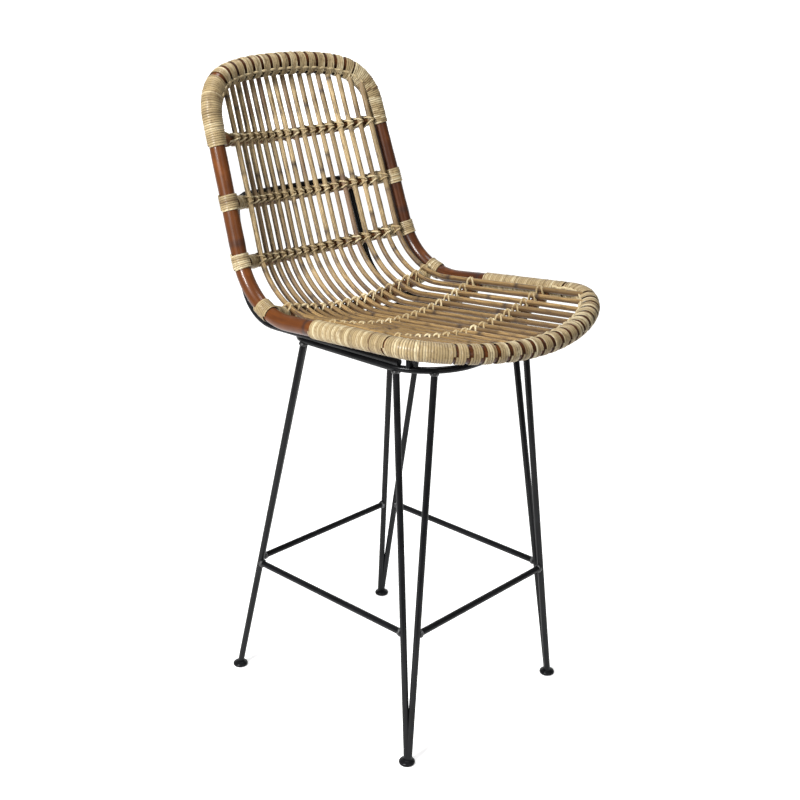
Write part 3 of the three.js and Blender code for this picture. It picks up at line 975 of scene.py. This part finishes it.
class BuildSeatWrapping(StoolOperator, bpy.types.Operator):
    """Winds cane round the seat's sides closely, and round its front in spaced groups"""

    bl_idname = "stool.build_seat_wrapping"
    bl_label = "Seat Wrapping"

    def build(self):
        o = Outline()
        start, end = o.along_loop(SIDE_WRAP_START), o.along_loop(SIDE_WRAP_END)
        full = strands().packing * 0.4
        for seed, (side, sign) in enumerate(SIDES):
            path, packing = o.side_stretch(sign, start, end), (0, full)
            obj = wrapping(f"side_wrap_{side}_cane", path, 33 + seed, SEAT_FACING, packing[::sign])
            finish_cane(obj, f"side_wrap_{side}")
        whole = o.once.length
        right, left = end + FRONT_DENSE_RIGHT, whole - end - FRONT_DENSE_LEFT
        even = (full, full)
        parts = [
            wrapping("front_dense_right", o.loop(end, right), 35, SEAT_FACING, even),
            wrapping("front_groups", o.loop(right, left), 36, SEAT_FACING, even, spaced=True),
            wrapping("front_dense_left", o.loop(left, whole - end), 37, SEAT_FACING, even),
            running_strands(
                "front_edge_strands", o.loop(end - 0.02, whole - end + 0.02), SEAT_FACING,
                ((0.0155, 0.008), (0.0175, 0.003)), 6,
            ),
        ]
        finish_cane(join("front_wrap_cane", parts), "front_wrap")


def wound(name, path, radius, turns, seed):
    """Close turns of cane round a path."""
    obj = strand_coil(name, radius, turns, seed)
    lay_out(obj)
    return lay_along(obj, path)


class BuildBindings(StoolOperator, bpy.types.Operator):
    """Binds the rails' ends to the side poles, and winds a few turns round each rail beside them"""

    bl_idname = "stool.build_bindings"
    bl_label = "Bindings"

    def build(self):
        o, t = Outline(), strands()
        turns = round(BINDING_WIDTH / t.strand_width)
        for number, rail in enumerate(BOUND_RAILS):
            middle = o.along_loop(RAILS[rail])
            for side, sign in SIDES:
                seed = 300 + 10 * number + sign
                path = o.side_stretch(sign, middle - BINDING_WIDTH / 2, middle + BINDING_WIDTH / 2)
                line = o.rail(RAILS[rail])
                if sign < 0:
                    line = line.part(0, COLLAR_REACH)
                else:
                    line = Path(line.part(line.length - COLLAR_REACH, line.length).points[::-1])
                band = wound("band", path, t.pole / 2, turns, seed)
                collar = wound("collar", line, t.rail / 2, COLLAR_TURNS, seed + 5)
                obj = join(f"binding_{side}_{number + 1}_cane", [band, collar])
                finish_cane(obj, f"binding_{side}_{number + 1}")


def lashing_line(turn):
    """One lashing round rod and rail, as points (along the rail, towards the sitter, along the rod)."""
    t = strands()
    rail, rod, half = t.rail / 2, t.rod, t.lashing / 2
    front = rail + rod
    arm = [
        (0.0052, front - 0.0034, 0.0),
        (0.0030, front + half * 0.3, 0.0014),
        (-0.0012, front + half * 0.4, 0.0034),
        (-0.0050, front - 0.0036, 0.0056),
        (-0.0082, rail * 0.84, rail * 0.70),
        (-0.0096, 0.0010, rail + half * 0.7),
        (-0.0088, -rail * 0.74, rail * 0.74),
    ]
    back = [(-0.0070, -rail - half * 0.7, 0.0)]
    whole = arm + back + [(r, n, -s) for r, n, s in arm[:0:-1]]
    return [tuple(c + turn.gauss(0, 0.0003) for c in p) for p in whole]


def strand_ring(name, points, thickness):
    """A strand along a smooth closed line through a few points."""
    curve = bpy.data.curves.new(name, "CURVE")
    curve.dimensions = "3D"
    curve.twist_mode = "Z_UP"
    spline = curve.splines.new("BEZIER")
    spline.bezier_points.add(len(points) - 1)
    for knot, place in zip(spline.bezier_points, points):
        knot.co = place
        knot.handle_left_type = knot.handle_right_type = "AUTO"
    spline.use_cyclic_u = True
    curve.resolution_u = 2
    curve.bevel_depth = thickness / 2
    curve.bevel_resolution = 1
    activate(placed(name, curve))
    bpy.ops.object.convert(target="MESH")
    return fresh(name)


class BuildLashings(StoolOperator, bpy.types.Operator):
    """Ties each rod to each rail with a pair of slanting cane strands"""

    bl_idname = "stool.build_lashings"
    bl_label = "Lashings"

    def build(self):
        o, t = Outline(), strands()
        turn = random.Random(11)
        for rail, d in RAILS.items():
            thickness = t.lashing * (LASHING_AT_BACK if d <= RAILS["back_rail_low"] else LASHING_AT_SEAT)
            narrow = 1 - LASHING_NARROWING * smooth_step(d, RAILS["back_rail_low"], RAILS["bend_rail"])
            patterns = [strand_ring(f"lashing_{k}", lashing_line(turn), thickness) for k in range(4)]
            tied, line = [], o.rail(d, 0.98)
            for index in range(t.rod_count):
                u = o.rod_place(index)
                rod = o.hammock(u, d, o.rod_lift(u))
                marks = np.linspace(0.002, line.length - 0.002, 800)
                mark = marks[np.argmin(np.linalg.norm(line.at(marks) - rod, axis=1))]
                centre, along_rail = line.at(mark), line.heading(mark)
                outward = unit(rod - centre)
                axes = np.array([along_rail, outward, np.cross(along_rail, outward)]).T
                for strand in range(2):
                    copy = turn.choice(patterns).copy()
                    copy.data = copy.data.copy()
                    bpy.context.scene.collection.objects.link(copy)
                    here = centre + along_rail * (PAIR_START - PAIR_PITCH * strand)
                    spin = Matrix.Rotation(turn.gauss(0, 0.10), 4, "Y") @ Matrix.Diagonal((narrow, 1, 1, 1))
                    turned = Matrix([[*axes[k], here[k]] for k in range(3)] + [[0, 0, 0, 1]])
                    copy.matrix_world = turned @ spin
                    apply_place(copy)
                    store(copy, "tone", np.full(len(copy.data.vertices), turn.uniform(0.35, 0.95)))
                    tied.append(copy)
            obj = join(f"{rail}_lashings", tied)
            edit(obj, turn_out)
            finish_cane(obj)
            for pattern in patterns:
                bpy.data.objects.remove(pattern)


# ------------------------------------------------------------------ steel base

LEG_DEGREES = {"front": (15, 50), "rear": (8, 88)}  # where a pair of legs meets the ring, round its corners
LEG_SPLIT = 0.003  # between the two rods of a pair, at their foot
LEG_WELD = (0.55, 0.48, 0.0022)  # distance from the rod's end and radius, in rod diameters; thickness
BAR_WELD = (0.58, 0.47, 0.0024)
RING_CUTS = 260
SUPPORT_CUTS = 360
SUPPORT_LEAN = 0.25
SUPPORT_BEND_RADIUS = 0.085
SUPPORT_CORNER_RADIUS = 0.028


class Base:
    """Lines of the steel base, from the boxes of its nodes."""

    def __init__(self):
        s = steel()
        self.half = RING_HIGH.x - s.rod / 2
        self.front_y = RING_LOW.y + s.rod / 2
        self.rear_y = RING_HIGH.y - s.rod / 2
        self.z = (RING_LOW.z + RING_HIGH.z) / 2

    def ring(self):
        s, parts, last = steel(), [], None
        knees = [(1, self.front_y), (1, self.rear_y), (-1, self.rear_y), (-1, self.front_y)]
        corners = [point(sign * self.half, y, self.z) for sign, y in knees]
        radii = [s.ring_front_radius, s.ring_rear_radius, s.ring_rear_radius, s.ring_front_radius]
        for i in range(4):
            bend = round_bend(corners[i - 1], corners[i], corners[(i + 1) % 4], radii[i])
            if last is not None:
                parts.append(bezier([last, bend[0]], 60))
            parts.append(bezier(bend, 60))
            last = bend[3]
        parts.append(bezier([last, parts[0][0]], 60))
        return Path(joined(parts))

    def on_corner(self, end, degrees):
        s = steel()
        radius = s.ring_rear_radius if end == "rear" else s.ring_front_radius
        way = 1 if end == "rear" else -1
        edge = self.rear_y if end == "rear" else self.front_y
        angle = math.radians(degrees)
        x = self.half - radius + radius * math.cos(angle)
        return point(x, edge - way * radius + way * radius * math.sin(angle), self.z)

    def legs(self, end, sign):
        """The outer and the inner rod of a pair, each as its foot end and its top end."""
        low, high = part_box(f"foot_{end}_right")
        foot = point((low.x + high.x) / 2, (low.y + high.y) / 2, steel().foot_height * 0.5)
        tops = [self.on_corner(end, degrees) for degrees in LEG_DEGREES[end]]
        split = unit((tops[1] - tops[0]) * (1, 1, 0)) * LEG_SPLIT
        lines = [(foot, tops[0]), (foot + split, tops[1])]
        return lines if sign > 0 else [tuple(mirrored(p) for p in line) for line in lines]

    def at_footrest(self, line):
        low, high = line
        return low + (high - low) * (steel().footrest_height - low[2]) / (high[2] - low[2])

    def support(self):
        s = steel()
        z = self.z + s.rod + GAP
        top_z, top_y = SUPPORT_HIGH.z - s.rod / 2, SUPPORT_HIGH.y - s.rod / 2
        right = [
            point(self.half, SUPPORT_LOW.y, z),
            point(s.support_bend_half_width, top_y - SUPPORT_LEAN * (top_z - z), z),
            point(s.support_half_width, top_y, top_z),
        ]
        radii = [SUPPORT_BEND_RADIUS, SUPPORT_CORNER_RADIUS, SUPPORT_CORNER_RADIUS, SUPPORT_BEND_RADIUS]
        return rounded_path(right + [mirrored(p) for p in right[::-1]], radii)


def weld(place, heading, radius, height, seed):
    """A lumpy fillet of weld round a rod's end."""
    obj = primitive(
        "torus", "weld", major_segments=20, minor_segments=8, major_radius=radius, minor_radius=height
    )
    turn = random.Random(seed)
    co = coordinates(obj)
    angle, lumps = np.arctan2(co[:, 1], co[:, 0]), 1
    for count in (5, 8):
        lumps = lumps + 0.05 * np.sin(angle * count + turn.uniform(0, 6))
    co[:, :2] *= lumps[:, None]
    co[:, 2] *= 1.25
    move_vertices(obj, co)
    return swing_to(obj, place, (0, 0, 1), heading)


class BuildRing(StoolOperator, bpy.types.Operator):
    """Builds the seat ring, and the back support that is welded on it"""

    bl_idname = "stool.build_ring"
    bl_label = "Ring and Back Support"

    def build(self):
        base, s = Base(), steel()
        path = base.ring()
        obj = straight_bar("seat_ring_steel", path.length, s.rod, 24, RING_CUTS)
        caps = [len(face.vertices) > 4 for face in obj.data.polygons]
        edit_only(obj, "polygons", caps, lambda: bpy.ops.mesh.delete(type="ONLY_FACE"))
        lay_out(obj)
        lay_along(obj, path, closed=True)
        edit(obj, lambda: bpy.ops.mesh.remove_doubles(threshold=0.0005), turn_out)
        finish_steel(obj, "seat_ring")
        path = base.support()
        obj = straight_bar("back_support_steel", path.length, s.rod, 24, SUPPORT_CUTS)
        lay_out(obj)
        lay_along(obj, path)
        finish_steel(obj, "back_support")


class BuildLegs(StoolOperator, bpy.types.Operator):
    """Builds the four pairs of leg rods, the footrest bars and their welds"""

    bl_idname = "stool.build_legs"
    bl_label = "Legs and Footrest"

    def build(self):
        base, s = Base(), steel()
        welds, seed = [], 500
        for end in LEG_DEGREES:
            for side, sign in SIDES:
                for role, (low, high) in zip(("outer", "inner"), base.legs(end, sign)):
                    name = f"leg_{end}_{side}_{role}"
                    heading = unit(high - low)
                    obj = between(f"{name}_steel", low, high, s.rod)
                    finish_steel(obj, name)
                    seed += 1
                    back, radius, height = LEG_WELD
                    welds.append(weld(high - heading * s.rod * back, heading, s.rod * radius, height, seed))
        corners = [(end, sign) for end in LEG_DEGREES for _, sign in SIDES]
        outer, inner = ({corner: base.legs(*corner)[k] for corner in corners} for k in range(2))
        bars = {f"footrest_{side}": (outer["front", sign], outer["rear", sign]) for side, sign in SIDES}
        bars.update({f"footrest_{end}": (inner[end, -1], inner[end, 1]) for end in LEG_DEGREES})
        for name, lines in bars.items():
            start, stop = (base.at_footrest(line) for line in lines)
            heading = unit(stop - start)
            obj = between(f"{name}_steel", start, stop, s.rod)
            finish_steel(obj, name)
            for place, way in ((start, heading), (stop, -heading)):
                seed += 1
                back, radius, height = BAR_WELD
                welds.append(weld(place + way * s.rod * back, way, s.rod * radius, height, seed))
        finish_piece(join("leg_welds", welds), weld_bead(), "black_steel")


FOOT_PROFILE = ((0.38, 0.0), (0.47, 0.14), (0.5, 0.40), (0.46, 0.64), (0.34, 0.86), (0.21, 1.0))


class BuildFeet(StoolOperator, bpy.types.Operator):
    """Builds the four domed button feet"""

    bl_idname = "stool.build_feet"
    bl_label = "Feet"

    def build(self):
        s = steel()
        for end in LEG_DEGREES:
            for side, _ in SIDES:
                node = f"foot_{end}_{side}"
                low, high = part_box(node)
                middle = ((low.x + high.x) / 2, (low.y + high.y) / 2, 0)
                obj = primitive(
                    "circle", f"{node}_steel", vertices=24, radius=FOOT_PROFILE[0][0] * s.foot,
                    fill_type="NGON", location=middle,
                )
                bpy.ops.object.mode_set(mode="EDIT")
                bpy.ops.mesh.select_mode(type="FACE")
                bpy.ops.mesh.select_all(action="SELECT")
                for (narrow, below), (wide, above) in zip(FOOT_PROFILE, FOOT_PROFILE[1:]):
                    rise = (above - below) * s.foot_height
                    bpy.ops.mesh.extrude_region_move(TRANSFORM_OT_translate={"value": (0, 0, rise)})
                    bpy.ops.transform.resize(
                        value=(wide / narrow, wide / narrow, 1), center_override=(middle[0], middle[1], 0)
                    )
                bpy.ops.mesh.select_all(action="SELECT")
                turn_out()
                bpy.ops.object.mode_set(mode="OBJECT")
                angle = math.radians(20)
                modify(obj, "BEVEL", width=0.0006, segments=2, limit_method="ANGLE", angle_limit=angle)
                finish_steel(obj, node)


class BuildTabs(StoolOperator, bpy.types.Operator):
    """Builds the two tabs between the ring and the seat's front rail, each with its screw"""

    bl_idname = "stool.build_tabs"
    bl_label = "Tabs"

    def build(self):
        for side, _ in SIDES:
            low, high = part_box(f"tab_{side}")
            middle = (low + high) / 2
            plate = primitive("cube", "plate", size=1, location=middle, scale=high - low)
            modify(plate, "BEVEL", width=0.0012, segments=3)
            screw = primitive(
                "cylinder", "screw", vertices=20, radius=0.0038, depth=0.003,
                location=(middle.x, low.y - 0.001, middle.z), rotation=(math.pi / 2, 0, 0),
            )
            modify(screw, "BEVEL", width=0.001, segments=3)
            obj = join(f"tab_{side}_steel", [plate, screw])
            finish_steel(obj, f"tab_{side}")


# ------------------------------------------------------------------ stage

CAMERA_TARGET = Vector((0, 0.0711, 0.5589))
CAMERA_DISTANCE = 2.1557
CAMERA_AZIMUTH = math.radians(-45.49)
CAMERA_ELEVATION = math.radians(19.09)
CAMERA_LENS = 55.84
CAMERA_SHIFT = (0.0323, -0.0271)
WORLD_STRENGTH = 0.22
LIGHTS = {  # place, aim, size and power
    "key": ((-2.7, -0.3, 2.1), (0, 0, 0.75), 0.8, 205),
    "fill": ((-0.6, -3.0, 1.7), (0, 0, 0.7), 1.8, 18),
    "top": ((0.3, 0.2, 3.0), (0, 0, 0.7), 1.0, 40),
}
FLOOR_AHEAD = 0.9  # how far the floor reaches towards the camera from the stool's middle
FLOOR_BEHIND = 7.0
STAGE_WIDTH = 16.0
STAGE_HEIGHT = 7.0


def stage_plane(name, place, turn, size, glow):
    """A plain white sheet of the stage that glows a little, so that the background stays even."""
    deselect()
    bpy.ops.mesh.primitive_plane_add(size=1, location=place, rotation=turn)
    sheet = fresh(name)
    sheet.scale = size
    apply_place(sheet)
    p = Paint(f"{name}_white", roughness=0.9, specular_ior_level=0.1, emission_strength=glow)
    grain = p.noise(p.place((6, 6, 6), "Object"), detail=2)
    white = p.mix(grain, (0.80, 0.80, 0.80), (0.84, 0.84, 0.84))
    glowing = p.mix(grain, (0.98, 0.98, 0.98), (1.0, 1.0, 1.0))
    sheet.data.materials.append(p.finish(Base_Color=white, Emission_Color=glowing))


def area_light(name, place, target, size, power):
    data = bpy.data.lights.new(name, "AREA")
    data.energy = power
    data.size = size
    obj = placed(name, data)
    obj.location = place
    obj.rotation_euler = (Vector(target) - Vector(place)).to_track_quat("-Z", "Y").to_euler()


class BuildStage(StoolOperator, bpy.types.Operator):
    """Adds the camera, the soft lights and a plain pale floor"""

    bl_idname = "stool.build_stage"
    bl_label = "Stage"

    def build(self):
        scene = bpy.context.scene
        back = Vector((
            math.sin(CAMERA_AZIMUTH) * math.cos(CAMERA_ELEVATION),
            -math.cos(CAMERA_AZIMUTH) * math.cos(CAMERA_ELEVATION),
            math.sin(CAMERA_ELEVATION),
        ))
        lens = bpy.data.cameras.new("view")
        lens.lens = CAMERA_LENS
        lens.sensor_width = 36
        lens.shift_x, lens.shift_y = CAMERA_SHIFT
        camera = placed("view", lens)
        camera.location = CAMERA_TARGET + back * CAMERA_DISTANCE
        camera.rotation_euler = (math.pi / 2 - CAMERA_ELEVATION, 0, CAMERA_AZIMUTH)
        scene.camera = camera
        away = Vector((-math.sin(CAMERA_AZIMUTH), math.cos(CAMERA_AZIMUTH), 0))
        middle = away * (FLOOR_BEHIND - FLOOR_AHEAD) / 2
        size = (STAGE_WIDTH, FLOOR_BEHIND + FLOOR_AHEAD, 1)
        stage_plane("floor", middle, (0, 0, CAMERA_AZIMUTH), size, 0.48)
        wall = away * FLOOR_BEHIND + Vector((0, 0, STAGE_HEIGHT / 2))
        size = (STAGE_WIDTH, STAGE_HEIGHT, 1)
        stage_plane("backdrop", wall, (math.pi / 2, 0, CAMERA_AZIMUTH), size, 0.86)
        world = bpy.data.worlds.new("studio")
        world.use_nodes = True
        glow = world.node_tree.nodes["Background"].inputs
        glow["Color"].default_value = (1, 1, 1, 1)
        glow["Strength"].default_value = WORLD_STRENGTH
        scene.world = world
        scene.view_settings.view_transform = "Standard"
        for name, light in LIGHTS.items():
            area_light(name, *light)


# ------------------------------------------------------------------ registration

SETTINGS = {
    "stool_shell": ShellSizes,
    "stool_strands": StrandSizes,
    "stool_steel": SteelSizes,
    "stool_finishes": Finishes,
}
OPERATORS = (
    BuildStage, BuildPoles, BuildRails, BuildRods, BuildTopWrapping, BuildSeatWrapping, BuildBindings,
    BuildLashings, BuildRing, BuildLegs, BuildFeet, BuildTabs,
)


class StoolPanel(bpy.types.Panel):
    """Lists the stool's pieces, sizes and colours"""

    bl_idname = "VIEW3D_PT_rattan_stool"
    bl_label = "Rattan Bar Stool"
    bl_space_type = "VIEW_3D"
    bl_region_type = "UI"
    bl_category = "Stool"

    def draw(self, context):
        for operator in OPERATORS:
            self.layout.operator(operator.bl_idname)
        for name, group in SETTINGS.items():
            box = self.layout.box()
            for size in group.__annotations__:
                box.prop(getattr(context.scene, name), size)


def register():
    for group in SETTINGS.values():
        bpy.utils.register_class(group)
    for name, group in SETTINGS.items():
        setattr(bpy.types.Scene, name, PointerProperty(type=group))
    for cls in (*OPERATORS, StoolPanel):
        bpy.utils.register_class(cls)


def unregister():
    for cls in (*OPERATORS, StoolPanel):
        bpy.utils.unregister_class(cls)
    for name, group in SETTINGS.items():
        delattr(bpy.types.Scene, name)
        bpy.utils.unregister_class(group)


def main():
    register()
    for operator in OPERATORS:
        group, name = operator.bl_idname.split(".")
        getattr(getattr(bpy.ops, group), name)()


if __name__ == "__main__":
    main()
